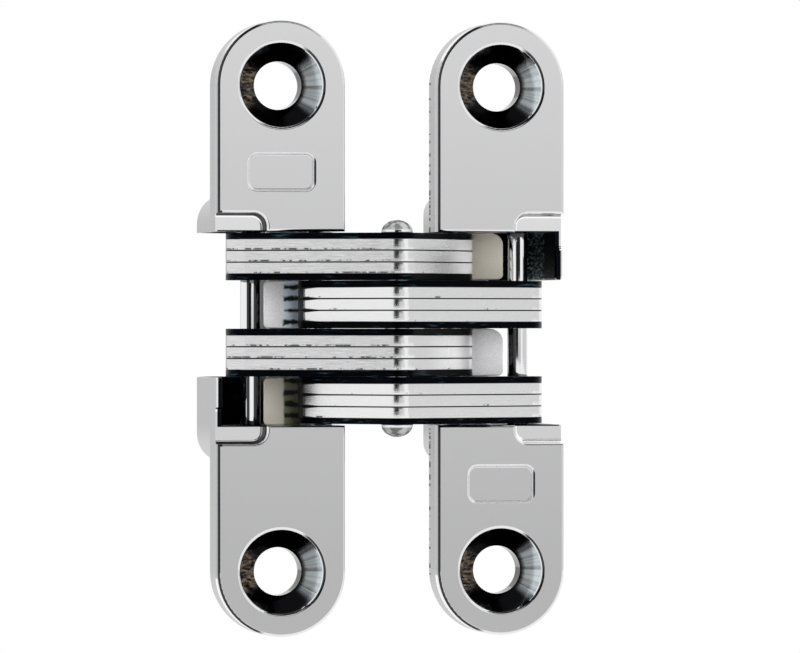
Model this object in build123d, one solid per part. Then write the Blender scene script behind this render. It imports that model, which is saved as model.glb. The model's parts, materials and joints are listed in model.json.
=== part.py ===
from build123d import *
import math
import os

# An invisible hinge for a cabinet door or a lid, laid fully open.
# Two die-cast leaves sit in round-ended mortises. Four laminated links cross between them on one centre pin.
# +Z runs along the pins and X across the leaves. The visible faces lie in the plane Y = 0 and look along -Y.
# The hinge is the same after half a turn about Y, so each left-hand piece also gives its right-hand partner.

# Leaf, all in mm
leaf_length = 60.3
leaf_width = 12.7
leaf_thickness = 4.3
leaf_gap = 9.3            # between the inner edges when the hinge lies open
edge_round = 0.25         # all front edges of the casting
opening_height = 19.0     # along Z, where the links pass through the leaf

# Screw holes, concentric with the round ends
screw_hole_diameter = 4.75
sink_diameter = 8.5
sink_angle = 82.0         # included angle of the flat-head screw
sink_lip_round = 0.35

# Housing behind the leaf
back_room = 0.4           # between the closed links and the plane of the housing's back
end_wall = 3.95           # above and below the opening
housing_corner = 4.0      # seen from the front
housing_outer_round = 5.5 # the back corner on the outer side
housing_inner_start = 5.0 # depth where the inner side starts to curve round to the back
floor_room = 0.35         # between the links and the bridge that joins the two halves of the leaf
bridge_front_reach = 6.65 # how far the bridge reaches from the leaf's inner edge at its front
bridge_room = 0.82        # between the closed links and the bridge's back edge
bridge_edge_round = 0.4
pocket_fillet = 0.35      # where the bridge meets the end walls
side_wall = 0.6
side_wall_start = 0.6     # its front edge, below the visible face
side_wall_corner = 0.4
side_wall_edge_round = 0.2

# Relief for the heads of the centre pin when the hinge is shut, and the plain panel pressed into the face
relief_room_behind = 0.4
relief_room_above = 0.7
relief_room_beside = 0.95
relief_corner = 1.3
relief_fillet = 0.45      # between its floor and its wall
panel_width = 6.4
panel_height = 3.4
panel_depth = 0.4
panel_gap = 2.3           # above the relief
panel_round = 0.8
panel_fillet = 0.1

# Linkage, hinge open: insets are from the leaf's inner edge, and depths from its face
centre_rise = 2.4         # the centre pin stands proud of the face
fixed_inset = 2.15
fixed_down = 4.1
slide_inset = 8.8
slide_down = 3.6
closed_gap = 1.2          # between the two faces when the hinge is shut
pin_diameter = 2.0
centre_pin_diameter = 2.4
head_diameter = 3.1
head_rise = 1.25
pin_fit = 0.02            # radial, a pin in the piece that carries it
turn_fit = 0.05           # radial, a pin in a link that turns on it
pass_room = 0.15          # radial, a fixed pin in the scallop of a link that passes it
slide_fit = 0.25          # each side of the sliding pin in its groove
groove_depth = 1.8        # into the end wall
fixed_pin_seat = 2.6      # into the end wall

# Laminated links
link_count = 4
link_side_gap = 0.15      # between neighbouring links, and to the end walls
plate_count = 3
outer_plate_thickness = 0.55
slide_end_radius = 2.2
centre_radius = 2.1
fixed_end_radius = 2.15

# Derived values
screw_spacing = leaf_length - leaf_width
half_opening = opening_height / 2
inner_edge = leaf_gap / 2
outer_edge = inner_edge + leaf_width
leaf_middle = inner_edge + leaf_width / 2
link_pitch = (opening_height - link_side_gap) / link_count
link_thickness = link_pitch - link_side_gap
plate_thickness = (link_thickness - 2 * outer_plate_thickness) / plate_count
half_turn = Rot(0, 180, 0)

fixed_across = inner_edge + fixed_inset
slide_across = inner_edge + slide_inset
fixed_pivot = Vector(-fixed_across, fixed_down)
centre = Vector(0, -centre_rise)
slide_start = Vector(-slide_across, slide_down)
far_fixed_pivot = Vector(fixed_across, fixed_down)

# Fold of the linkage: the short arm turns by short_turn, and the long link by less, as cross_ratio says
short_arm = (centre - fixed_pivot).length
long_arm = (slide_start - centre).length
open_angle = math.atan2(centre.Y - fixed_pivot.Y, centre.X - fixed_pivot.X)
closed_angle = -(math.pi - math.asin((fixed_down + closed_gap / 2) / short_arm))
short_turn = open_angle - closed_angle
cross_ratio = 2 - math.pi / short_turn
slide_angle = math.atan2(slide_start.Y - centre.Y, slide_start.X - centre.X)


def slide_place(share):
    """Where the sliding pin is when the hinge has closed by this share of its travel."""
    arm_angle = open_angle - share * short_turn
    moved = fixed_pivot + Vector(math.cos(arm_angle), math.sin(arm_angle)) * short_arm
    link_angle = slide_angle - share * (1 - cross_ratio) * short_turn
    return moved + Vector(math.cos(link_angle), math.sin(link_angle)) * long_arm


closed_centre = fixed_pivot + Vector(math.cos(closed_angle), math.sin(closed_angle)) * short_arm
closed_slide = slide_place(1)

# What follows from the closed linkage
floor_depth = fixed_down + fixed_end_radius + floor_room
housing_depth = closed_slide.Y + slide_end_radius + back_room
housing_height = opening_height + 2 * end_wall
bridge_back_reach = -closed_slide.X - slide_end_radius - bridge_room - inner_edge
relief_depth = closed_centre.Y + head_diameter / 2 + relief_room_behind
relief_height = head_rise - link_side_gap + relief_room_above
relief_width = outer_edge + closed_centre.X + head_diameter / 2 + relief_room_beside
panel_offset = half_opening + relief_height + panel_gap + panel_height / 2


def rod(place, diameter, length, z=0.0):
    return Pos(place.X, place.Y, z) * Cylinder(diameter / 2, length)


def block(x_low, x_high, y_low, y_high, z_low, z_high):
    size = (x_high - x_low, y_high - y_low, z_high - z_low)
    middle = ((x_low + x_high) / 2, (y_low + y_high) / 2, (z_low + z_high) / 2)
    return Pos(*middle) * Box(*size)


def upright(sketch, height, z=0.0):
    """A sketch drawn in X and Y, as a solid that stands along Z about its middle."""
    return Pos(0, 0, z) * extrude(sketch, height / 2, both=True)


def leaf_plate():
    """The round-ended plate."""
    outline = Plane.XZ * SlotOverall(leaf_length, leaf_width, rotation=90)
    return Pos(-leaf_middle, 0, 0) * extrude(outline, -leaf_thickness)


def screw_hole(z):
    """Countersink with a rounded lip, and the through hole for a flat-head screw."""
    hole_radius = screw_hole_diameter / 2
    sink_radius = sink_diameter / 2
    half_angle = math.radians(sink_angle / 2)
    sink_depth = (sink_radius - hole_radius) / math.tan(half_angle)
    lip = sink_lip_round * math.tan((math.pi / 2 - half_angle) / 2)
    lip_end = (sink_radius - lip * math.sin(half_angle), lip * math.cos(half_angle))
    past = 1
    cut_end = leaf_thickness + past
    profile = Polyline((sink_radius + lip, 0), (sink_radius + lip, -past), (0, -past), (0, cut_end),
                       (hole_radius, cut_end), (hole_radius, sink_depth), lip_end)
    profile += TangentArc((sink_radius + lip, 0), lip_end, tangent=(-1, 0))
    return Pos(-leaf_middle, 0, z) * revolve(make_face(profile), Axis.Y)


def housing_section(start, inset=0.0):
    """The housing seen along Z: a straight outer side, and a back that curves in to the inner side."""
    outer, inner = -outer_edge + inset, -inner_edge - inset
    back, depth = -outer_edge + housing_outer_round, housing_depth - inset
    outer_start = housing_depth - housing_outer_round
    section = Line((outer, start), (outer, outer_start))
    section += TangentArc((outer, outer_start), (back, depth), tangent=(0, 1))
    section += EllipticalCenterArc((back, housing_inner_start), inner - back, depth - housing_inner_start,
                                   start_angle=0, arc_size=90)
    section += Polyline((inner, housing_inner_start), (inner, start), (outer, start))
    return make_face(section)


def housing():
    """The deep part behind the plate. Its ends are round when seen from the front."""
    front = Plane.XZ * RectangleRounded(leaf_width, housing_height, housing_corner)
    plan = Pos(-leaf_middle, 0, 0) * extrude(front, -housing_depth)
    return upright(housing_section(leaf_thickness / 2), housing_height) & plan


def link_space():
    """What the links need: the front pocket and the channel that the sliding pin's links stand in."""
    past = 2
    outline = Polyline(
        (-outer_edge - past, -past), (-inner_edge + past, -past), (-inner_edge + past, floor_depth),
        (-inner_edge - bridge_front_reach, floor_depth),
        (-inner_edge - bridge_back_reach, housing_depth + past), (-outer_edge - past, housing_depth + past),
        close=True,
    )
    space = upright(make_face(outline), opening_height)
    uprights = space.edges().filter_by(Axis.Z)
    bridge_front = uprights.filter_by_position(Axis.Y, floor_depth - 0.1, floor_depth + 0.1)
    space = fillet(bridge_front.sort_by(Axis.X)[0], bridge_edge_round)
    ends = space.edges().group_by(Axis.Z)
    rims = (ends[0] + ends[-1]).filter_by(lambda e: e.center().X > -outer_edge)
    return fillet(rims.filter_by_position(Axis.Y, floor_depth - 0.1, housing_depth), pocket_fillet)


def last_bay_wall():
    """The thin wall that closes the last link bay, down the outer side and across the back to the bridge."""
    low = -half_opening - link_side_gap
    high = -half_opening + link_pitch
    past = 1
    inside = housing_section(side_wall_start - past, side_wall)
    reach = outer_edge - inner_edge - bridge_back_reach + bridge_edge_round
    kept = Pos(-outer_edge + reach / 2, housing_depth / 2) * Rectangle(reach, housing_depth)
    outline = (housing_section(side_wall_start) - inside) & kept
    wall = upright(outline, high - low, (low + high) / 2)
    front = wall.faces().sort_by(Axis.Y)[0]
    wall = fillet(front.edges().sort_by(Axis.Z)[-1], side_wall_corner)
    return fillet(wall.edges().filter_by(Axis.Z).group_by(Axis.Y)[0], side_wall_edge_round)


def pin_head_relief(side):
    """The stepped corner that the centre pin's head drops into when the hinge is shut."""
    past = 2
    width = relief_width + past
    corner = Pos(-outer_edge - past + width / 2, 0) * Rectangle(width, 2 * relief_height)
    corner = fillet(corner.vertices().group_by(Axis.X)[-1], relief_corner)
    cut = extrude(Plane.XZ * corner, -relief_depth)
    cut = fillet(cut.faces().sort_by(Axis.Y)[-1].edges(), relief_fillet)
    return Pos(0, 0, side * half_opening) * (cut + extrude(Plane.XZ * corner, past))


def panel_recess():
    outline = Plane.XZ * RectangleRounded(panel_width, panel_height, panel_round)
    recess = extrude(outline, panel_depth, both=True)
    recess = fillet(recess.faces().sort_by(Axis.Y)[-1].edges(), panel_fillet)
    return Pos(-leaf_middle, 0, panel_offset) * recess


def slide_groove():
    """The curved groove in both end walls that the sliding pin runs in."""
    path = ThreePointArc(slide_place(0), slide_place(0.5), slide_place(1))
    outline = SlotArc(path, pin_diameter + 2 * slide_fit)
    return upright(outline, opening_height + 2 * groove_depth)


def leaf():
    """One leaf, cast in one piece. Its front edges are eased before the holes are drilled."""
    body = leaf_plate() + housing() - link_space() + last_bay_wall()
    for side in (1, -1):
        body -= pin_head_relief(side)
    body -= panel_recess()
    body = fillet(body.edges().filter_by_position(Axis.Y, -0.01, 0.01), edge_round)
    for side in (1, -1):
        body -= screw_hole(side * screw_spacing / 2)
    body -= slide_groove()
    return body - rod(fixed_pivot, pin_diameter + 2 * pin_fit, opening_height + 2 * fixed_pin_seat)


def arm(start, start_radius, end, end_radius):
    """Two round ends and the tapered bar that is tangent to both."""
    rounds = Pos(start.X, start.Y) * Circle(start_radius) + Pos(end.X, end.Y) * Circle(end_radius)
    return make_hull(rounds.edges())


def link_outline():
    """The bent link. Its long arm is scalloped where it passes the near fixed pin; its short arm isn't."""
    shape = arm(slide_start, slide_end_radius, centre, centre_radius)
    shape -= Pos(fixed_pivot.X, fixed_pivot.Y) * Circle(pin_diameter / 2 + pass_room)
    return shape + arm(centre, centre_radius, far_fixed_pivot, fixed_end_radius)


def link_holes(carries_centre_pin):
    """The three pin holes. One pair of links carries the centre pin and the other turns on it."""
    centre_fit = pin_fit if carries_centre_pin else turn_fit
    holes = Pos(slide_start.X, slide_start.Y) * Circle(pin_diameter / 2 + pin_fit)
    holes += Pos(centre.X, centre.Y) * Circle(centre_pin_diameter / 2 + centre_fit)
    return holes + Pos(far_fixed_pivot.X, far_fixed_pivot.Y) * Circle(pin_diameter / 2 + turn_fit)


def link_plates(number, outline):
    """The five stacked plates of one link, named from the top down."""
    top = half_opening - link_side_gap - (number - 1) * link_pitch
    names = ["upper_cheek", "upper_plate", "middle_plate", "lower_plate", "lower_cheek"]
    plates = {}
    for name in names:
        thickness = outer_plate_thickness if name.endswith("cheek") else plate_thickness
        plates[f"link_{number}_{name}"] = upright(outline, thickness, top - thickness / 2)
        top -= thickness
    return plates


def centre_pin():
    """The pin through all four links, with a domed head at each end."""
    half_length = half_opening - link_side_gap
    head_radius = head_diameter / 2
    dome_radius = (head_radius ** 2 + head_rise ** 2) / (2 * head_rise)
    dome_base = half_length + head_rise - dome_radius
    dome = Pos(0, 0, dome_base) * Sphere(dome_radius)
    dome &= block(-head_radius, head_radius, -head_radius, head_radius, half_length, half_length + head_rise)
    shape = Cylinder(centre_pin_diameter / 2, 2 * half_length) + dome + half_turn * dome
    return Pos(centre.X, centre.Y, 0) * shape


def build():
    left_leaf = leaf()
    slide_length = opening_height + 2 * (groove_depth - link_side_gap)
    pieces = {
        "left_leaf": left_leaf,
        "right_leaf": half_turn * left_leaf,
        "centre_pin": centre_pin(),
    }
    fixed_pin = rod(fixed_pivot, pin_diameter, opening_height + 2 * fixed_pin_seat)
    slide_pin = rod(slide_start, pin_diameter, slide_length)
    pieces["left_fixed_pin"] = fixed_pin
    pieces["right_fixed_pin"] = half_turn * fixed_pin
    pieces["left_slide_pin"] = slide_pin
    pieces["right_slide_pin"] = half_turn * slide_pin
    solid_outline = link_outline()
    turning = solid_outline - link_holes(False)
    carrying = mirror(solid_outline - link_holes(True), Plane.YZ)
    for number in range(1, link_count + 1):
        pieces.update(link_plates(number, carrying if number % 2 == 0 else turning))
    return pieces


os.makedirs("parts", exist_ok=True)
print("housing depth", housing_depth, "relief", relief_width, relief_height, relief_depth)
print("bridge back reach", bridge_back_reach, "floor depth", floor_depth, "screw spacing", screw_spacing)
print("short arm turns", round(math.degrees(short_turn), 3), "cross ratio", round(cross_ratio, 6))
print("closed: centre pin", closed_centre.X, closed_centre.Y, "sliding pin", closed_slide.X, closed_slide.Y)
for node, shape in build().items():
    export_step(shape, f"parts/{node}.step")
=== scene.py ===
import json
import math
import bpy
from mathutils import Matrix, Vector

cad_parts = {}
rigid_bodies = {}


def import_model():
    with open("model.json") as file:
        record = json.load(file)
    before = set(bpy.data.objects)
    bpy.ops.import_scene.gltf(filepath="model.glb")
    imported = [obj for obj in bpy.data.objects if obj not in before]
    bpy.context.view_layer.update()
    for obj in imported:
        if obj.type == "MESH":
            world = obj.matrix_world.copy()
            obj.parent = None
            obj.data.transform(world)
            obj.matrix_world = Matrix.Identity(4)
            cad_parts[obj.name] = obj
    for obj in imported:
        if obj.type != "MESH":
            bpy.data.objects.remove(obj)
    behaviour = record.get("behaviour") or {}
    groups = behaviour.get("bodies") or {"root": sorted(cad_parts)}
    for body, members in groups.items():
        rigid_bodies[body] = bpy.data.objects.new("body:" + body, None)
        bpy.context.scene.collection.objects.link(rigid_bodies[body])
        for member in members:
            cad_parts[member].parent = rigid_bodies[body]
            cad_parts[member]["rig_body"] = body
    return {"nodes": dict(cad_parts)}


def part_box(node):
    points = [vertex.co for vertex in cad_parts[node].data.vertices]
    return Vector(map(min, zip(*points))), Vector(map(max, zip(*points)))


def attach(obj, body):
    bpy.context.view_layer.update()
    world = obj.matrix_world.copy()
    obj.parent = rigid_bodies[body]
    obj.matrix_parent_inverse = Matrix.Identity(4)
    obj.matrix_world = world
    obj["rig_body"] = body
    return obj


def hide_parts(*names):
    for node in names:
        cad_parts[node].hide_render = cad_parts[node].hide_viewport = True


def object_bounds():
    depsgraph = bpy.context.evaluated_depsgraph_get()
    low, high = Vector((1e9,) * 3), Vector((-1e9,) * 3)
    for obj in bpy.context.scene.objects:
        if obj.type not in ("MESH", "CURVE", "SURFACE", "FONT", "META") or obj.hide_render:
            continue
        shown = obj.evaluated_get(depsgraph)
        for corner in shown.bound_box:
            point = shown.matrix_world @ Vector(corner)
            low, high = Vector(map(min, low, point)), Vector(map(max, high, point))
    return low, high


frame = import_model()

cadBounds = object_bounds()
scene = bpy.context.scene
nodes = frame["nodes"]
mm = 0.001
print("frame loaded,", len(nodes), "nodes")


class Value:
    # wraps a socket, so that shader maths can be written as an expression
    def __init__(self, finish, socket):
        self.finish = finish
        self.socket = socket

    def join(self, operation, first, second):
        return self.finish.node("Math", {"operation": operation}, {0: first, 1: second})

    def apply(self, operation):
        return self.finish.node("Math", {"operation": operation}, {0: self})

    def split(self):
        # the three parts of a vector
        made = self.finish.node("SeparateXYZ", None, {0: self}).socket.node
        return [Value(self.finish, part) for part in made.outputs]

    def __add__(self, other):
        return self.join("ADD", self, other)

    def __radd__(self, other):
        return self.join("ADD", other, self)

    def __sub__(self, other):
        return self.join("SUBTRACT", self, other)

    def __rsub__(self, other):
        return self.join("SUBTRACT", other, self)

    def __mul__(self, other):
        return self.join("MULTIPLY", self, other)

    def __rmul__(self, other):
        return self.join("MULTIPLY", other, self)

    def __truediv__(self, other):
        return self.join("DIVIDE", self, other)

    def __pow__(self, other):
        return self.join("POWER", self, other)

    def __gt__(self, other):
        return self.join("GREATER_THAN", self, other)

    def __lt__(self, other):
        return self.join("LESS_THAN", self, other)

    def __abs__(self):
        return self.apply("ABSOLUTE")


class Finish:
    # one material or world, and the nodes in it
    def __init__(self, owner):
        self.owner = owner
        owner.use_nodes = True
        self.tree = owner.node_tree
        self.tree.nodes.clear()

    def node(self, kind, settings=None, sockets=None, output=0):
        made = self.tree.nodes.new("ShaderNode" + kind)
        for name, setting in (settings or {}).items():
            setattr(made, name, setting)
        for name, value in (sockets or {}).items():
            if isinstance(value, Value):
                self.tree.links.new(value.socket, made.inputs[name])
            else:
                made.inputs[name].default_value = value
        return Value(self, made.outputs[output])

    def noise(self, place, scale, detail, rough=0.5):
        sockets = {"Vector": place, "Scale": scale, "Detail": detail, "Roughness": rough}
        return self.node("TexNoise", None, sockets, "Fac")

    def noiseAlong(self, length, scale, detail):
        sockets = {"W": length, "Scale": scale, "Detail": detail}
        return self.node("TexNoise", {"noise_dimensions": "1D"}, sockets, "Fac")

    def streaks(self, place, cells, detail, rough=0.5):
        # noise with its own number of cells per metre along each axis
        stretched = self.node("VectorMath", {"operation": "MULTIPLY"}, {0: place, 1: cells})
        return self.noise(stretched, 1.0, detail, rough)

    def finishSurface(self, shader):
        kind = "World" if self.owner == scene.world else "Material"
        made = self.tree.nodes.new("ShaderNodeOutput" + kind)
        self.tree.links.new(shader.socket, made.inputs["Surface"])


def colour(tone):
    # a grey number or a red, green and blue triple, as a colour with full alpha
    return (*tone, 1.0) if hasattr(tone, "__len__") else (tone, tone, tone, 1.0)


def directionTo(azimuth, elevation):
    # from the hinge to something round it: azimuth 0 is in front, and 90 to the right
    turn = math.radians(azimuth)
    tilt = math.radians(elevation)
    return Vector((math.sin(turn) * math.cos(tilt), -math.cos(turn) * math.cos(tilt), math.sin(tilt)))


# Camera: the photograph's own frame, seen a little from the left
view = {
    "azimuth": -12.0,
    "elevation": 0.0,
    "distance": 0.63,
    "nearest": 0.01,
    "imageWidth": 800,
    "imageHeight": 653,
    "pixelsPerMetre": 10200.0,
    "originAcross": 392.0,
    "originDown": 328.5,
    "sensor": 36.0,
}


def addCamera():
    back = directionTo(view["azimuth"], view["elevation"])
    turn = math.radians(view["azimuth"])
    across = Vector((math.cos(turn), math.sin(turn), 0))
    up = back.cross(across)
    moveAcross = (view["imageWidth"] / 2 - view["originAcross"]) / view["pixelsPerMetre"]
    moveUp = (view["originDown"] - view["imageHeight"] / 2) / view["pixelsPerMetre"]
    target = across * moveAcross + up * moveUp
    lens = bpy.data.cameras.new("camera")
    lens.sensor_width = view["sensor"]
    lens.lens = view["pixelsPerMetre"] * view["distance"] * view["sensor"] / view["imageWidth"]
    lens.clip_start = view["nearest"]
    holder = bpy.data.objects.new("camera", lens)
    scene.collection.objects.link(holder)
    holder.location = target + back * view["distance"]
    holder.rotation_euler = (-back).to_track_quat("-Z", "Y").to_euler()
    scene.camera = holder


addCamera()
print("camera placed")

# Studio: a white room, soft lamps, a pale floor, and grey and black cards that the bright metal mirrors
studio = {
    "worldFill": 0.75,
    "floorDrop": 0.03,
    "floorSize": 4.0,
    "floorTone": 0.86,
    "floorGlow": 0.93,
    "floorGrain": {"Scale": 900.0, "Detail": 4.0},
    "floorRelief": 0.02,
    "shadowReach": 0.12,
    "lamps": {
        "keyLamp": {"azimuth": 35, "elevation": 50, "distance": 0.9, "size": 0.6, "power": 5.0},
        "fillLamp": {"azimuth": -70, "elevation": 25, "distance": 0.9, "size": 0.6, "power": 2.5},
        "frontLamp": {"azimuth": 18, "elevation": 20, "distance": 0.9, "size": 0.5, "power": 5.0},
        "backLamp": {"azimuth": 160, "elevation": 40, "distance": 0.9, "size": 0.6, "power": 3.0},
    },
    # each card: where its middle is, its size, and its tone at its lower and upper edge
    "cards": {
        "faceCard": {"azimuth": 13, "elevation": 0, "distance": 0.45, "width": 0.245, "height": 0.15,
                     "tones": (0.48, 0.88)},
        "apexCard": {"azimuth": -14, "elevation": 0, "distance": 0.48, "width": 0.257, "height": 0.6,
                     "tones": (0.01, 0.02)},
        "upperFrontCard": {"azimuth": 9, "elevation": 18, "distance": 0.48, "width": 0.2, "height": 0.12,
                           "tones": (0.02, 0.02)},
        "lowerFrontCard": {"azimuth": 9, "elevation": -18, "distance": 0.48, "width": 0.2, "height": 0.12,
                           "tones": (0.02, 0.02)},
        "rightCard": {"azimuth": 81, "elevation": 0, "distance": 0.5, "width": 0.62, "height": 0.3,
                      "tones": (0.66, 0.78)},
        "upperCard": {"azimuth": 0, "elevation": 60, "distance": 0.5, "width": 0.6, "height": 0.34,
                      "tones": (0.02, 0.02)},
        "lowerCard": {"azimuth": 0, "elevation": -60, "distance": 0.5, "width": 0.6, "height": 0.34,
                      "tones": (0.02, 0.02)},
        "sideCard": {"azimuth": -168, "elevation": 0, "distance": 0.5, "width": 0.22, "height": 0.24,
                     "tones": (0.48, 0.62)},
    },
}


def standAround(holder, place):
    # puts an object at an azimuth, elevation and distance, facing the hinge
    away = directionTo(place["azimuth"], place["elevation"])
    holder.location = away * place["distance"]
    holder.rotation_euler = away.to_track_quat("Z", "Y").to_euler()


def addPlane(name, width, height):
    mesh = bpy.data.meshes.new(name)
    half = Vector((width / 2, height / 2))
    corners = [(-half.x, -half.y, 0), (half.x, -half.y, 0), (half.x, half.y, 0), (-half.x, half.y, 0)]
    mesh.from_pydata(corners, [], [(0, 1, 2, 3)])
    holder = bpy.data.objects.new(name, mesh)
    scene.collection.objects.link(holder)
    return holder


def addCard(name, card):
    # a card that only mirrored rays see
    holder = addPlane(name, card["width"], card["height"])
    standAround(holder, card)
    holder.visible_camera = False
    holder.visible_diffuse = False
    holder.visible_shadow = False
    finish = Finish(bpy.data.materials.new(name))
    height = finish.node("TexCoord", output="Generated").split()[1]
    low, high = card["tones"]
    tone = low + height * (high - low)
    finish.finishSurface(finish.node("Emission", None, {"Color": colour(1.0), "Strength": tone}))
    holder.data.materials.append(finish.owner)


def addLamp(name, lamp):
    light = bpy.data.lights.new(name, "AREA")
    light.size = lamp["size"]
    light.energy = lamp["power"]
    holder = bpy.data.objects.new(name, light)
    scene.collection.objects.link(holder)
    standAround(holder, lamp)
    holder.visible_camera = False
    holder.visible_glossy = False


def addFloor():
    # pale paper that glows white for the camera and in mirrors, and keeps a faint shadow below the hinge
    floor = addPlane("floor", studio["floorSize"], studio["floorSize"])
    floor.location.z = cadBounds[0][2] - studio["floorDrop"]
    finish = Finish(bpy.data.materials.new("palePaper"))
    grain = finish.node("TexNoise", None, studio["floorGrain"], "Fac")
    paper = finish.node("BsdfDiffuse", None, {"Color": studio["floorTone"] + grain * studio["floorRelief"]})
    glow = finish.node("Emission", None, {"Color": colour(1.0), "Strength": 1.0})
    place = finish.node("TexCoord", output="Object")
    away = finish.node("VectorMath", {"operation": "LENGTH"}, {0: place}, "Value")
    fade = finish.node("MapRange", None,
                       {0: away, 1: 0.0, 2: studio["shadowReach"], 3: studio["floorGlow"], 4: 1.0})
    camera, glossy = [finish.node("LightPath", output=kind) for kind in ("Is Camera Ray", "Is Glossy Ray")]
    share = (camera + glossy) * fade
    finish.finishSurface(finish.node("MixShader", None, {0: share, 1: paper, 2: glow}))
    floor.data.materials.append(finish.owner)


def addWorld():
    # white where it is seen, and dimmer where it only lights
    if scene.world is None:
        scene.world = bpy.data.worlds.new("room")
    finish = Finish(scene.world)
    kinds = ("Is Camera Ray", "Is Glossy Ray", "Is Transmission Ray")
    camera, glossy, through = [finish.node("LightPath", output=kind) for kind in kinds]
    seen = camera + glossy + through
    shown = seen.join("MINIMUM", seen, 1.0)
    strength = shown * (1.0 - studio["worldFill"]) + studio["worldFill"]
    finish.finishSurface(finish.node("Background", None, {"Color": colour(1.0), "Strength": strength}))


addWorld()
addFloor()
for lampName, lamp in studio["lamps"].items():
    addLamp(lampName, lamp)
for cardName, card in studio["cards"].items():
    addCard(cardName, card)
scene.view_settings.view_transform = "Standard"
print("studio built")


def axesOf(place):
    # a point's three parts, in millimetres
    return place.finish.node("VectorMath", {"operation": "SCALE"}, {0: place, "Scale": 1.0 / mm}).split()


def between(share, first, second):
    # a colour from first to second as share goes from 0 to 1
    ends = [tone if isinstance(tone, Value) else colour(tone) for tone in (first, second)]
    return share.finish.node("Mix", {"data_type": "RGBA"}, {0: share, 6: ends[0], 7: ends[1]}, 2)


def smooth(value, span):
    # 0 up to the span's start, and softly up to 1 at its end
    settings = {"interpolation_type": "SMOOTHSTEP"}
    return value.finish.node("MapRange", settings, {0: value, 1: span[0], 2: span[1], 3: 0.0, 4: 1.0})


def strip(value, rise, fall):
    # softly up to 1 along the first span, and down again along the second
    return smooth(value, rise) * (1.0 - smooth(value, fall))


def within(value, span):
    return (value > span[0]) * (value < span[1])


def larger(first, second):
    return first.join("MAXIMUM", first, second)


def reachOf(first, second):
    return (first * first + second * second) ** 0.5


def metalSurface(finish, tone, metal, rough, relief, bump):
    # bump holds the relief's strength, and its height in millimetres
    strength, distance = bump
    normal = finish.node("Bump", None, {"Strength": strength, "Distance": distance * mm, "Height": relief})
    finish.finishSurface(finish.node("BsdfPrincipled", None, {
        "Base Color": tone, "Metallic": metal, "Roughness": rough, "Normal": normal,
    }))
    return finish.owner


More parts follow.
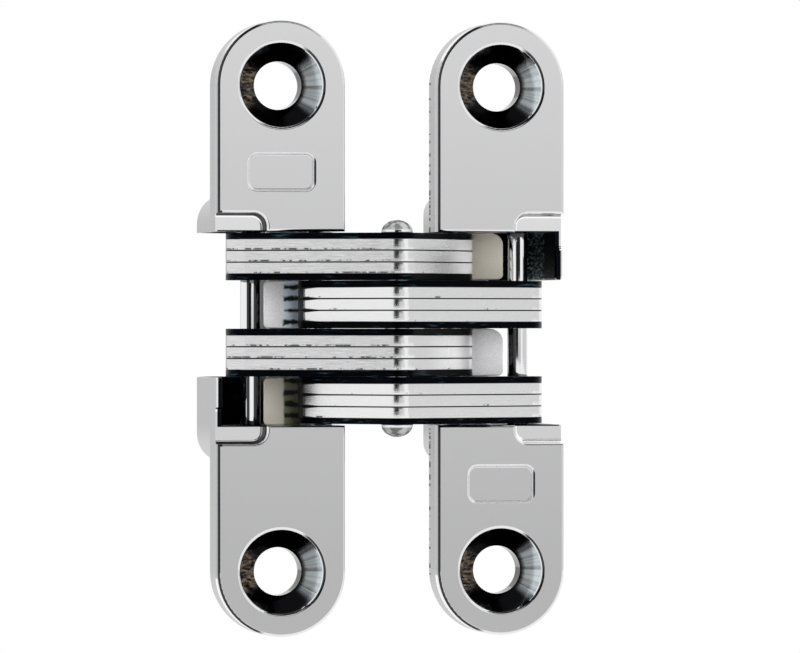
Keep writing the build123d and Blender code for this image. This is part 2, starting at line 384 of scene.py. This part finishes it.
# Cast and plated leaves: bright on the front, rougher behind it, and painted black in the link channel as
# painted shade.
# Places are in millimetres, as out from the middle of the hinge, up or down from it, and deep from the faces.
# A pair of numbers is where something starts and ends, or where it softly comes in. A noise is given as cells
# per metre, detail, and roughness where that isn't 0.5.
leafLook = {
    "chrome": (0.80, 0.80, 0.81),
    "castTone": (0.60, 0.60, 0.605),
    "castShare": 0.9,
    "faceRoughness": 0.07,
    "cloudRoughness": 0.02,
    "castRoughness": 0.32,
    "grainRoughness": 0.12,
    "bump": (0.5, 0.05),  # strength, and height in millimetres
    "waviness": 0.05,
    "castRelief": 0.25,
    "cloud": (260.0, 2.0),
    "grain": (5200.0, 4.0, 0.6),
    "streak": ((900.0, 900.0, 4200.0), 3.0),
    # the plate's eased rim, its bright ledge, and the casting behind it
    "rimDepth": (0.004, 0.27),
    "rimPolish": 0.06,
    "ledgeTone": (0.97, 0.97, 0.975),
    "ledgeFrom": 0.9,
    "castFrom": (1.45, 1.6),
    # countersinks: painted dark as a painted reflection, with a painted reflection of bright rays fanning up
    # one side, and rust on the other
    "paintedSinkTone": (0.07, 0.07, 0.075),
    "sinkCentre": (11.0, 23.8),
    "sinkRadius": 4.55,
    "sinkDepth": (0.2, 4.2),
    "fanReflectionTone": (0.50, 0.55, 0.575),
    "fanSide": (0.62, 0.9),
    "fanReach": (2.4, 2.9),
    "fanLeast": 0.55,
    "rays": (7.0, 2.0),  # these cells are per radius, up the countersink's wall
    "rayEdge": (0.3, 0.6),
    "rustTone": (0.22, 0.165, 0.11),
    "rustSide": (0.75, 0.95),
    "rustStreak": (0.3, 0.7),
    # link channel, round at its outer back corner, and the lip in front of it: painted black as painted
    # shade, with painted glints on its outer wall and a painted sheen on the right leaf's curved one
    "channelShadeTone": (0.006, 0.008, 0.011),
    "channelCentre": (11.85, 11.09),
    "channelRadius": 5.06,
    "channelInner": 11.4,
    "channelFront": 0.55,
    "channelHalfHeight": 9.62,
    "wallFront": (17.16, 2.0),
    "paintedGlintTone": (0.06, 0.12, 0.15),
    "glintStreak": (0.52, 0.66),
    "glintCloud": (0.45, 0.6),
    "glintFrom": (12.5, 2.2),
    "paintedSheenTone": (0.30, 0.42, 0.48),
    "sheenStreak": (0.46, 0.62),
    "sheenFrom": (15.2, 6.0),
    "lastBayFrom": 4.8,
    # bridge that the short arms land on, painted darker and beige in the closed bays as a painted reflection
    "bridgeTone": (0.93, 0.925, 0.95),
    "bridgeReflectionTone": (0.55, 0.52, 0.44),
    "bridgeDepth": (6.4, 6.85),
    "bridgeSide": 10.1,
    "bridgeOuter": 12.0,
    # painted reflection: a dark band painted on the step in the reliefs for the pin's heads, left out of the
    # right leaf's lower one
    "paintedDarkTone": (0.03, 0.03, 0.035),
    "bandShare": (0.95, 0.65),  # on the left leaf and on the right one
    "bandDepth": (0.27, 1.31),
    "bandHeight": (9.62, 12.0),
    "bandOut": (10.0, 17.3),
    "lowReliefDepth": (0.1, 1.31),
    # painted dark reflections: contours round the plate, round the countersinks, and on one side of the
    # panels
    "paintedContourShare": 0.97,
    "edgeSide": (0.25, 0.4),
    "edgeFrom": 5.9,
    "edgeDepth": (0.003, 0.2),
    "sinkLineSide": (0.45, 0.65),
    "sinkLineReach": (4.16, 4.62),
    "sinkLineDepth": (0.002, 0.3),
    "wallTone": (0.60, 0.60, 0.61),
    "panelCentre": 15.3,
    "panelHalf": (3.55, 1.95),
    "panelDepth": (0.004, 0.385),
    "panelLineFrom": 3.24,
    "panelLineEnd": (1.3, 1.6),
    # painted shade: a broken dark line along the right plate's inner back edge, closer near the bridge
    "marks": (1.6, 3.0),  # these cells are per millimetre
    "markBreak": (0.60, 0.64),
    "markNear": (9.6, 22.0),
    "markGather": 0.14,
    "markAcross": (0.0, 4.8),
    "markDepth": (3.6, 4.4),
    # how far each place is from bare metal
    "dull": {"bridge": 0.8, "fanReflection": 0.45, "rust": 0.5, "paintedSheen": 0.9, "wall": 0.35, "lowRelief": 0.22},
}


def inLastBay(across, up):
    # the bay of each leaf that is closed by a curved wall
    return (across * up > 0.0) * (abs(up) > leafLook["lastBayFrom"])


def leafFinish():
    look = leafLook
    finish = Finish(bpy.data.materials.new("castChrome"))
    place = finish.node("TexCoord", output="Object")
    across, deep, up = axesOf(place)
    out, height = abs(across), abs(up)
    side = across.apply("SIGN")
    right = across > 0.0
    lowerRight = right * (up < 0.0)
    lastBay = inLastBay(across, up)
    cloud = finish.noise(place, *look["cloud"])
    grain = finish.noise(place, *look["grain"])
    streak = finish.streaks(place, *look["streak"])

    # countersinks: painted dark as a painted reflection, with a painted reflection of bright rays fanning up
    # the right wall, and a little brown rust on the left one
    sinkX, sinkZ = across - side * look["sinkCentre"][0], height - look["sinkCentre"][1]
    sinkReach = reachOf(sinkX, sinkZ)
    aside = sinkX / sinkReach
    sink = (sinkReach < look["sinkRadius"]) * within(deep, look["sinkDepth"])
    ray = smooth(finish.noiseAlong(sinkZ / sinkReach, *look["rays"]), look["rayEdge"])
    fanReflection = smooth(aside, look["fanSide"]) * (look["fanLeast"] + (1.0 - look["fanLeast"]) * ray)
    fanReflection = fanReflection * smooth(sinkReach, look["fanReach"])
    rust = smooth(aside * -1.0, look["rustSide"]) * smooth(streak, look["rustStreak"])
    paintedSinkTone = between(fanReflection, look["paintedSinkTone"], look["fanReflectionTone"])
    paintedSinkTone = between(rust, paintedSinkTone, look["rustTone"])

    # the plate and the casting behind it
    plain = 1.0 - sink
    behind = smooth(deep, look["castFrom"]) * plain
    ledge = (deep > look["ledgeFrom"]) * (1.0 - behind) * plain
    rim = within(deep, look["rimDepth"]) * plain

    # link channel: painted shade, black, with painted glints on its outer wall and a painted sheen on the
    # right leaf's curved one
    overX = larger(out - look["channelCentre"][0], 0.0)
    overY = larger(deep - look["channelCentre"][1], 0.0)
    outside = (out > look["channelInner"]) * (deep > look["channelFront"])
    beside = (out > look["bridgeSide"]) * (deep > look["bridgeDepth"][1])
    lip = within(out, (look["channelInner"], look["wallFront"][0]))
    lip = lip * within(deep, (look["channelFront"], look["wallFront"][1]))
    inBay = height < look["channelHalfHeight"]
    channel = (reachOf(overX, overY) < look["channelRadius"]) * larger(outside, beside)
    channel = larger(channel, lip) * inBay
    paintedGlint = smooth(streak, look["glintStreak"]) * smooth(cloud, look["glintCloud"])
    paintedGlint = paintedGlint * (out > look["glintFrom"][0]) * (deep > look["glintFrom"][1])
    paintedSheen = smooth(streak, look["sheenStreak"]) * lastBay * right
    paintedSheen = paintedSheen * (out > look["sheenFrom"][0]) * (deep > look["sheenFrom"][1])
    dark = between(paintedGlint, look["channelShadeTone"], look["paintedGlintTone"])
    dark = between(paintedSheen, dark, look["paintedSheenTone"])

    # bridge, painted darker and beige in the closed bays as a painted reflection, and the reliefs for the
    # pin's heads
    bridge = within(deep, look["bridgeDepth"]) * (out < look["bridgeOuter"]) * inBay * (1.0 - channel)
    front = between(lastBay, look["bridgeTone"], look["bridgeReflectionTone"])
    besideBay = within(height, look["bandHeight"])
    # painted reflection: the dark band on the reliefs' step
    paintedBand = within(deep, look["bandDepth"]) * within(out, look["bandOut"]) * besideBay
    paintedBand = paintedBand * plain * (1.0 - lowerRight)
    leftShare, rightShare = look["bandShare"]
    bandShare = leftShare + right * (rightShare - leftShare)
    lowRelief = within(deep, look["lowReliefDepth"]) * (out > look["bandOut"][0]) * besideBay * lowerRight

    # painted reflections: thin dark contours painted where the eased edges would mirror the dark side of the
    # room, and painted shade in the broken line along the right plate's back edge
    edgeReach = reachOf(sinkX, larger(sinkZ, 0.0))
    edgeLine = smooth(sinkX / edgeReach * -1.0, look["edgeSide"]) * (edgeReach > look["edgeFrom"])
    edgeLine = edgeLine * within(deep, look["edgeDepth"])
    sinkLine = smooth(aside, look["sinkLineSide"]) * within(sinkReach, look["sinkLineReach"])
    sinkLine = sinkLine * within(deep, look["sinkLineDepth"])
    panelUp = abs(up + side * look["panelCentre"])
    wall = (abs(sinkX) < look["panelHalf"][0]) * (panelUp < look["panelHalf"][1])
    wall = wall * within(deep, look["panelDepth"])
    panelLine = wall * (sinkX > look["panelLineFrom"]) * (1.0 - smooth(panelUp, look["panelLineEnd"]))
    gather = (1.0 - smooth(height, look["markNear"])) * look["markGather"]
    marks = smooth(finish.noiseAlong(up, *look["marks"]) + gather, look["markBreak"])
    marks = marks * within(across, look["markAcross"]) * within(deep, look["markDepth"])
    paintedContour = larger(larger(larger(edgeLine, sinkLine), panelLine), marks)

    tone = between(behind * look["castShare"], look["chrome"], look["castTone"])
    layers = (
        (ledge, look["ledgeTone"]),
        (paintedBand * bandShare, look["paintedDarkTone"]),
        (sink, paintedSinkTone),
        (bridge, front),
        (channel, dark),
        (wall, look["wallTone"]),
        (paintedContour * look["paintedContourShare"], look["paintedDarkTone"]),
    )
    for share, over in layers:
        tone = between(share, tone, over)
    dull = look["dull"]
    metal = 1.0 - bridge * dull["bridge"] - sink * fanReflection * dull["fanReflection"]
    metal = metal - channel * paintedSheen * dull["paintedSheen"] - sink * rust * dull["rust"]
    metal = metal * (1.0 - wall * (1.0 - panelLine) * dull["wall"])
    metal = metal * (1.0 - lowRelief * dull["lowRelief"])
    rough = look["faceRoughness"] + cloud * look["cloudRoughness"] - rim * look["rimPolish"]
    rough = rough + behind * (look["castRoughness"] + grain * look["grainRoughness"])
    relief = cloud * look["waviness"] + behind * grain * look["castRelief"]
    return metalSurface(finish, tone, metal, rough, relief, look["bump"])


# Ground plate edges: a fine level grain, broken dark dashes along the seams, and painted shade in the seams
# between the plates.
# Each plate's mesh carries three marks. Level runs from 0 at its lower face to 1 at its upper one, wear says
# how worn its edge is there, and short runs from 0 at the centre pin to 1 near the end of the short arm.
plateMarks = ("level", "wear", "short")
plateLook = {
    "steel": (0.86, 0.86, 0.865),
    "worn": (0.50, 0.50, 0.51),
    "dash": (0.02, 0.022, 0.026),
    "roughness": 0.12,
    "grainRoughness": 0.14,
    "darkRoughness": 0.2,
    "bump": (0.35, 0.02),
    "grain": ((700.0, 700.0, 15000.0), 4.0),
    "broken": (900.0, 5.0, 0.7),
    "dashRise": (0.04, 0.10),
    "dashFall": (0.14, 0.24),
    "dashBreak": (0.60, 0.66),
    "dashWear": 0.1,
    "dashShare": 0.9,
    # painted shade in the seams between the plates, which open out at the short arm's end, later on the
    # right; the left end is darkened
    "seamShade": (0.42, 0.465),
    "seamShare": 0.97,
    "openFrom": (0.78, 1.0),
    "openBy": 0.14,
    "openLater": 0.2,
    "darkEndFrom": (0.945, 0.965),
    "dullFrom": (0.3, 0.9),
    "dullShare": 0.4,
}


def plateFinish():
    look = plateLook
    finish = Finish(bpy.data.materials.new("plateSteel"))
    place = finish.node("TexCoord", output="Object")
    level, wear, short = [finish.node("Attribute", {"attribute_name": mark}, None, "Fac")
                          for mark in plateMarks]
    across = axesOf(place)[0]
    right, left = across > 0.0, across < 0.0
    grain = finish.streaks(place, *look["grain"])
    broken = finish.noise(place, *look["broken"])
    dash = strip(level, look["dashRise"], look["dashFall"])
    dash = dash * smooth(broken + wear * look["dashWear"], look["dashBreak"])
    # painted shade: the short arm's end is dressed thinner, so its seams are painted wider and darker there;
    # the left end is darkened
    opened = smooth(short - right * look["openLater"], look["openFrom"]) * look["openBy"]
    seamShade = smooth(abs(level - 0.5) + opened, look["seamShade"])
    seamShade = larger(seamShade, smooth(short, look["darkEndFrom"]) * left)
    shade = larger(dash * look["dashShare"], seamShade * look["seamShare"])
    tone = between(wear * grain, look["steel"], look["worn"])
    tone = between(shade, tone, look["dash"])
    metal = 1.0 - smooth(short, look["dullFrom"]) * right * look["dullShare"]
    rough = look["roughness"] + grain * look["grainRoughness"] + shade * look["darkRoughness"]
    return metalSurface(finish, tone, metal, rough, grain - dash, look["bump"])


# Oiled dark cheeks between the bright plates, with a few painted teal and navy glints
cheekLook = {
    "oil": (0.0025, 0.003, 0.0045),
    "paintedGlint": (0.04, 0.08, 0.11),
    "roughness": 0.22,
    "streakRoughness": 0.2,
    "bump": (0.4, 0.02),
    "streak": ((500.0, 500.0, 6000.0), 5.0, 0.6),
    "patch": (330.0, 2.0),
    "glintStreak": (0.55, 0.68),
    "glintPatch": (0.46, 0.62),
}


def cheekFinish():
    look = cheekLook
    finish = Finish(bpy.data.materials.new("oiledCheek"))
    place = finish.node("TexCoord", output="Object")
    streak = finish.streaks(place, *look["streak"])
    patch = finish.noise(place, *look["patch"])
    # painted glints: teal and navy patches painted on the dark cheeks
    paintedGlint = smooth(streak, look["glintStreak"]) * smooth(patch, look["glintPatch"])
    tone = between(paintedGlint, look["oil"], look["paintedGlint"])
    rough = look["roughness"] + streak * look["streakRoughness"]
    return metalSurface(finish, tone, 1.0, rough, streak, look["bump"])


# Polished rods, and the rough peened head at each end of the centre pin, with places in millimetres
pinLook = {
    "steel": (0.84, 0.84, 0.85),
    "roughness": 0.05,
    "grainRoughness": 0.05,
    "bump": (0.6, 0.08),
    "rodRelief": 0.04,
    "grain": (2600.0, 5.0, 0.65),
    "headFrom": (9.55, 9.75),
    "headTone": (0.34, 0.34, 0.335),
    "headRoughness": 0.65,
    "headDull": 0.8,
    "pitTone": (0.10, 0.10, 0.10),
    "pits": (1500.0, 4.0),
    "pitEdge": (0.42, 0.62),
    # painted reflections, as dark stripes on the sliding pins: how far right of the pin's middle they lie,
    # seen a little from the left
    "paintedStripeTone": (0.01, 0.011, 0.013),
    "paintedStripeShare": 0.96,
    "slidePin": (13.45, 3.6),
    "stripeTurn": (0.978, 0.208),  # cosine and sine of 12 degrees
    "stripeOut": 12.0,
    "stripeDepth": 3.7,
    "leftEdge": (0.30, 0.38),
    "leftLine": ((-0.38, -0.30), (-0.08, -0.02)),
    "rightLine": ((-0.92, -0.86), (-0.2, -0.1)),
}


def pinFinish():
    look = pinLook
    finish = Finish(bpy.data.materials.new("pinSteel"))
    place = finish.node("TexCoord", output="Object")
    across, deep, up = axesOf(place)
    head = smooth(abs(up), look["headFrom"])
    grain = finish.noise(place, *look["grain"])
    pits = finish.noise(place, *look["pits"])
    peened = between(smooth(pits, look["pitEdge"]), look["pitTone"], look["headTone"])
    # painted reflections: two dark stripes along the left sliding pin, and one on the lower half of the right
    # one
    besideX = across - across.apply("SIGN") * look["slidePin"][0]
    aside = besideX * look["stripeTurn"][0] - (deep - look["slidePin"][1]) * look["stripeTurn"][1]
    leftLine = larger(smooth(aside, look["leftEdge"]), strip(aside, *look["leftLine"]))
    rightLine = strip(aside, *look["rightLine"]) * (up < 0.0)
    line = leftLine * (across < 0.0) + rightLine * (across > 0.0)
    line = line * (abs(across) > look["stripeOut"]) * (deep < look["stripeDepth"])
    tone = between(head, look["steel"], peened)
    tone = between(line * look["paintedStripeShare"], tone, look["paintedStripeTone"])
    rough = look["roughness"] + head * look["headRoughness"] + grain * look["grainRoughness"]
    relief = head * grain + grain * look["rodRelief"]
    return metalSurface(finish, tone, 1.0 - head * look["headDull"], rough, relief, look["bump"])


materials = {
    "leaf_chrome": leafFinish(),
    "link_steel": plateFinish(),
    "dark_cheek": cheekFinish(),
    "pin_steel": pinFinish(),
}
print("finishes made")


def placePiece(piece, node, material):
    # finishes a new piece and lets it ride on the body of a CAD node
    piece.data.materials.clear()
    piece.data.materials.append(material)
    scene.collection.objects.link(piece)
    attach(piece, nodes[node]["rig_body"])


# Links: the bent outline that every plate of a link shares, before its turn to left or right, in millimetres
link = {
    "centre": (0.0, -2.4),
    "slide": (-13.45, 3.6),
    "fixed": (6.8, 4.1),
    "centreRadius": 2.1,
    "slideRadius": 2.42,
    "fixedRadius": {1: 2.15, -1: 1.75},  # 1 is for links 1 and 3, and -1 for links 2 and 4
    "pinRadii": {"slide": 1.0, "centre": 1.2, "fixed": 1.0},
    "holeRoom": 0.03,
    "passRadius": 1.15,
    "easing": 0.09,
    "cheekEasing": 0.04,
    "easingSteps": 2,
    "cheekSpread": 0.06,
    "shortReach": 8.6,
    "wear": {1: 1.0, -1: 0.2},
    "degreesPerStep": 3.0,
    "sharpFrom": 50.0,
    "levelWeight": 80,
}


def onCircle(middle, radius, degrees):
    turn = math.radians(degrees)
    return Vector((middle[0] + radius * math.cos(turn), middle[1] + radius * math.sin(turn)))


def arcPoints(middle, radius, start, end):
    # points from one angle to another, in degrees, with both ends
    count = max(2, round(abs(end - start) / link["degreesPerStep"]))
    return [onCircle(middle, radius, start + (end - start) * step / count) for step in range(count + 1)]


def tangentAngles(first, firstRadius, second, secondRadius):
    # the directions from both centres to where the two outer tangent lines touch
    along = Vector(second) - Vector(first)
    lean = math.degrees(math.acos((firstRadius - secondRadius) / along.length))
    heading = math.degrees(math.atan2(along.y, along.x))
    return heading - lean, heading + lean


def crossing(a, b, c, d):
    # where line a-b meets line c-d
    along = b - a
    other = d - c
    share = ((c.x - a.x) * other.y - (c.y - a.y) * other.x) / (along.x * other.y - along.y * other.x)
    return a + along * share


def linkOutline(fixedRadius):
    centre, slide, fixed = link["centre"], link["slide"], link["fixed"]
    longFront, longBack = tangentAngles(slide, link["slideRadius"], centre, link["centreRadius"])
    shortFront, shortBack = tangentAngles(centre, link["centreRadius"], fixed, fixedRadius)
    outline = arcPoints(centre, link["centreRadius"], longFront, shortFront)
    outline += arcPoints(fixed, fixedRadius, shortFront, shortBack)
    # the inner corner, where the back edges of both arms meet
    slideBack = onCircle(slide, link["slideRadius"], longBack)
    centreBack = onCircle(centre, link["centreRadius"], longBack)
    outline.append(crossing(onCircle(fixed, fixedRadius, shortBack),
                            onCircle(centre, link["centreRadius"], shortBack), centreBack, slideBack))
    # the scallop that passes the near leaf's fixed pin
    pin = Vector((-fixed[0], fixed[1]))
    along = (slideBack - centreBack).normalized()
    foot = centreBack + along * (pin - centreBack).dot(along)
    reach = math.sqrt(link["passRadius"] ** 2 - (foot - pin).length_squared)
    ends = [foot - along * reach - pin, foot + along * reach - pin]
    start, end = [math.degrees(math.atan2(offset.y, offset.x)) for offset in ends]
    outline += arcPoints(pin, link["passRadius"], start, end)
    outline += arcPoints(slide, link["slideRadius"], longBack, longFront + 360.0)
    return outline


def addLoop(shape, points, side):
    loop = shape.splines.new("POLY")
    loop.points.add(len(points) - 1)
    for place, point in zip(loop.points, points):
        place.co = (side * point.x * mm, point.y * mm, 0.0, 1.0)
    loop.use_cyclic_u = True
    loop.use_smooth = True


def addPlate(node):
    # one plate of a link: links 1 and 3 reach deep into the left leaf, 2 and 4 into the right one
    side = 1 if node.split("_")[1] in "13" else -1
    cheek = "cheek" in node
    slot = "dark_cheek" if cheek else "link_steel"
    easing = link["cheekEasing"] if cheek else link["easing"]
    low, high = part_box(node)
    bottom, top = low[2], high[2]
    # inner cheeks reach a little into the gaps between the links
    if "upper_cheek" in node and node != "link_1_upper_cheek":
        top += link["cheekSpread"] * mm
    if "lower_cheek" in node and node != "link_4_lower_cheek":
        bottom -= link["cheekSpread"] * mm
    shape = bpy.data.curves.new(node + "Shape", "CURVE")
    shape.dimensions = "2D"
    shape.fill_mode = "BOTH"
    addLoop(shape, linkOutline(link["fixedRadius"][side]), side)
    for pin, radius in link["pinRadii"].items():
        addLoop(shape, arcPoints(link[pin], radius + link["holeRoom"], 0.0, 360.0)[:-1], side)
    shape.extrude = (top - bottom) / 2 - easing * mm
    shape.bevel_depth = easing * mm
    shape.bevel_resolution = link["easingSteps"]
    shape.offset = -easing * mm
    holder = bpy.data.objects.new(node + "Curve", shape)
    mesh = bpy.data.meshes.new_from_object(holder)
    bpy.data.objects.remove(holder)
    mesh.name = node + "Plate"
    for mark in plateMarks:
        mesh.attributes.new(mark, "FLOAT", "POINT")
    level, wear, short = [mesh.attributes[mark].data for mark in plateMarks]
    for index, corner in enumerate(mesh.vertices):
        corner.co.z += (top + bottom) / 2
        level[index].value = (corner.co.z - bottom) / (top - bottom)
        wear[index].value = link["wear"][side] * (corner.co.x < 0)
        short[index].value = max(0.0, side * corner.co.x / mm / link["shortReach"])
    mesh.shade_smooth()
    mesh.set_sharp_from_angle(angle=math.radians(link["sharpFrom"]))
    piece = bpy.data.objects.new(node + "_plate", mesh)
    placePiece(piece, node, materials[slot])
    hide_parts(node)
    weigh = piece.modifiers.new("levelFaces", "WEIGHTED_NORMAL")
    weigh.keep_sharp = True
    weigh.weight = link["levelWeight"]


# Turned pins, in millimetres: the centre pin's domed heads are peened, the others are plainly eased
rod = {
    "sides": 96,
    "ease": 0.12,
    "easeCorner": 0.3,
    "centreRadius": 1.2,
    "headRadius": 1.55,
    "headRise": 1.25,
    "headWall": 0.06,
    "headEase": 0.03,
    "domeSteps": 15,
    "sharpFrom": 40.0,
}


def rodProfile(node, radius, half):
    # radius and height of each ring in metres, from the top's middle to the bottom's
    upper = [(0.0, half)]
    if node == "centre_pin":
        radius, head, rise = rod["centreRadius"] * mm, rod["headRadius"] * mm, rod["headRise"] * mm
        shoulder = half - rise
        for step in range(1, rod["domeSteps"]):
            turn = math.radians(90.0 * step / rod["domeSteps"])
            upper.append((head * math.sin(turn), shoulder + rise * math.cos(turn)))
        upper += [(head, shoulder + rod["headWall"] * mm), (head - rod["headEase"] * mm, shoulder)]
        upper.append((radius, shoulder))
    else:
        ease = rod["ease"] * mm
        corner = ease * rod["easeCorner"]
        upper += [(radius - ease, half), (radius - corner, half - corner), (radius, half - ease)]
    return upper + [(radius, 0.0)] + [(ring, -z) for ring, z in reversed(upper)]


def addRod(node):
    low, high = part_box(node)
    middle = [(a + b) / 2 for a, b in zip(low, high)]
    half = (high[2] - low[2]) / 2
    profile = rodProfile(node, (high[0] - low[0]) / 2, half)
    count = rod["sides"]
    corners, faces = [], []
    for radius, z in profile[1:-1]:
        for step in range(count):
            corners.append((*onCircle(middle, radius, 360.0 * step / count), middle[2] + z))
    rings = len(profile) - 2
    for ring in range(rings - 1):
        upper, lower = ring * count, (ring + 1) * count
        for step in range(count):
            after = (step + 1) % count
            faces.append((upper + after, upper + step, lower + step, lower + after))
    # both ends are closed by triangles round a middle point
    top, bottom = len(corners), len(corners) + 1
    corners += [(middle[0], middle[1], middle[2] + half), (middle[0], middle[1], middle[2] - half)]
    for step in range(count):
        after = (step + 1) % count
        faces.append((top, step, after))
        faces.append((bottom, (rings - 1) * count + after, (rings - 1) * count + step))
    mesh = bpy.data.meshes.new(node + "Turned")
    mesh.from_pydata(corners, [], faces)
    mesh.shade_smooth()
    mesh.set_sharp_from_angle(angle=math.radians(rod["sharpFrom"]))
    piece = bpy.data.objects.new(node + "_turned", mesh)
    placePiece(piece, node, materials["pin_steel"])
    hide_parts(node)


# Crests: where the casting rises outside each pocket, sloped to let the short arms land when the hinge shuts.
# Places are in millimetres.
crest = {
    "outer": 12.1,
    "inner": 8.1,
    "outerDepth": 3.9,
    "innerDepth": 6.2,
    "back": 9.0,
    "backInset": 1.25,
    "bays": ((0.03, 4.69), (-9.5, -4.82)),
    "corner": 0.5,
    "bigCorner": {-1: 0.45, 1: 1.2},  # on the left leaf and on the right one
    "easing": 0.15,
    "easingSteps": 3,
    "easeFrom": 30.0,
    # finish: sandy, and on the left leaf polished further in, with a painted reflection of each plate's end
    # as a faint blot and painted dark between them
    "roughness": 0.3,
    "sandRoughness": 0.17,
    "metal": 0.2,
    "bump": (0.5, 0.05),
    "cloud": (700.0, 3.0),
    "sandFrom": (9.65, 9.95),
    "sandWander": 0.6,
    "sandTone": 0.45,
    "sandShare": 0.25,
    "sandGrain": (0.3, 0.7),
    "plateReflectionTone": (0.74, 0.86, 0.94),
    "closedBayReflectionTone": (0.17, 0.17, 0.11),
    "gapReflectionTone": (0.012, 0.014, 0.016),
    "blotEdge": (-0.40, -0.2),
    "blotWander": 0.9,
}


def crestFinish():
    finish = Finish(bpy.data.materials.new("crestCast"))
    place = finish.node("TexCoord", output="Object")
    across, up = axesOf(place)[::2]
    grain = finish.noise(place, *leafLook["grain"])
    cloud = finish.noise(place, *crest["cloud"]) - 0.5
    lastBay = inLastBay(across, up)
    rough = larger(smooth(abs(across) + cloud * crest["sandWander"], crest["sandFrom"]), across > 0.0)
    # the sand takes the bridge's painted reflection tone in the closed bays
    sand = between(lastBay, leafLook["bridgeTone"], leafLook["bridgeReflectionTone"])
    sand = between(smooth(grain, crest["sandGrain"]) * crest["sandShare"], sand, crest["sandTone"])
    # painted reflections: the ends of the plates are painted as faint blots on the polished part, one for
    # each plate, with dark painted between them
    low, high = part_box("link_2_middle_plate")
    share = ((up * mm - low[2]) / (high[2] - low[2])).apply("FRACT")
    plateReflection = smooth(cloud * crest["blotWander"] - abs(share - 0.5), crest["blotEdge"])
    pale = between(lastBay, crest["plateReflectionTone"], crest["closedBayReflectionTone"])
    tone = between(rough, between(plateReflection, crest["gapReflectionTone"], pale), sand)
    polish = crest["roughness"] + rough * crest["sandRoughness"]
    return metalSurface(finish, tone, crest["metal"], polish, grain, crest["bump"])


def addCrest(leafNode, side):
    # side is -1 for the left leaf; the right leaf's crest is turned half round, with a larger corner
    depthRun = (crest["outerDepth"] - crest["innerDepth"]) / (crest["outer"] - crest["inner"])
    small, big = crest["corner"], crest["bigCorner"][side]
    corners, faces = [], []
    for low, high in crest["bays"]:
        outline = [Vector((crest["inner"], low)), Vector((crest["inner"], high))]
        outline += arcPoints((crest["outer"] - small, high - small), small, 90.0, 0.0)
        outline += arcPoints((crest["outer"] - big, low + big), big, 0.0, -90.0)
        first = len(corners)
        count = len(outline)
        for point in outline:
            deep = crest["innerDepth"] + (point.x - crest["inner"]) * depthRun
            corners.append((side * point.x * mm, deep * mm, -side * point.y * mm))
        for point in outline:
            out = point.x - crest["backInset"]
            corners.append((side * out * mm, crest["back"] * mm, -side * point.y * mm))
        faces.append([first + step for step in range(count)])
        faces.append([first + count + step for step in reversed(range(count))])
        for step in range(count):
            after = (step + 1) % count
            faces.append((first + after, first + step, first + count + step, first + count + after))
    mesh = bpy.data.meshes.new(leafNode + "Crest")
    mesh.from_pydata(corners, [], faces)
    piece = bpy.data.objects.new(leafNode + "_crest", mesh)
    placePiece(piece, leafNode, materials["crest"])
    ease = piece.modifiers.new("easedEdges", "BEVEL")
    ease.width = crest["easing"] * mm
    ease.segments = crest["easingSteps"]
    ease.limit_method = "ANGLE"
    ease.angle_limit = math.radians(crest["easeFrom"])


materials["crest"] = crestFinish()
addCrest("left_leaf", -1)
addCrest("right_leaf", 1)
print("crests added")

for node in nodes:
    if node.startswith("link_"):
        addPlate(node)
    elif node.endswith("_pin"):
        addRod(node)
    else:
        holder = nodes[node]
        holder.data.materials.clear()
        holder.data.materials.append(materials["leaf_chrome"])
print("links, pins and leaves finished")
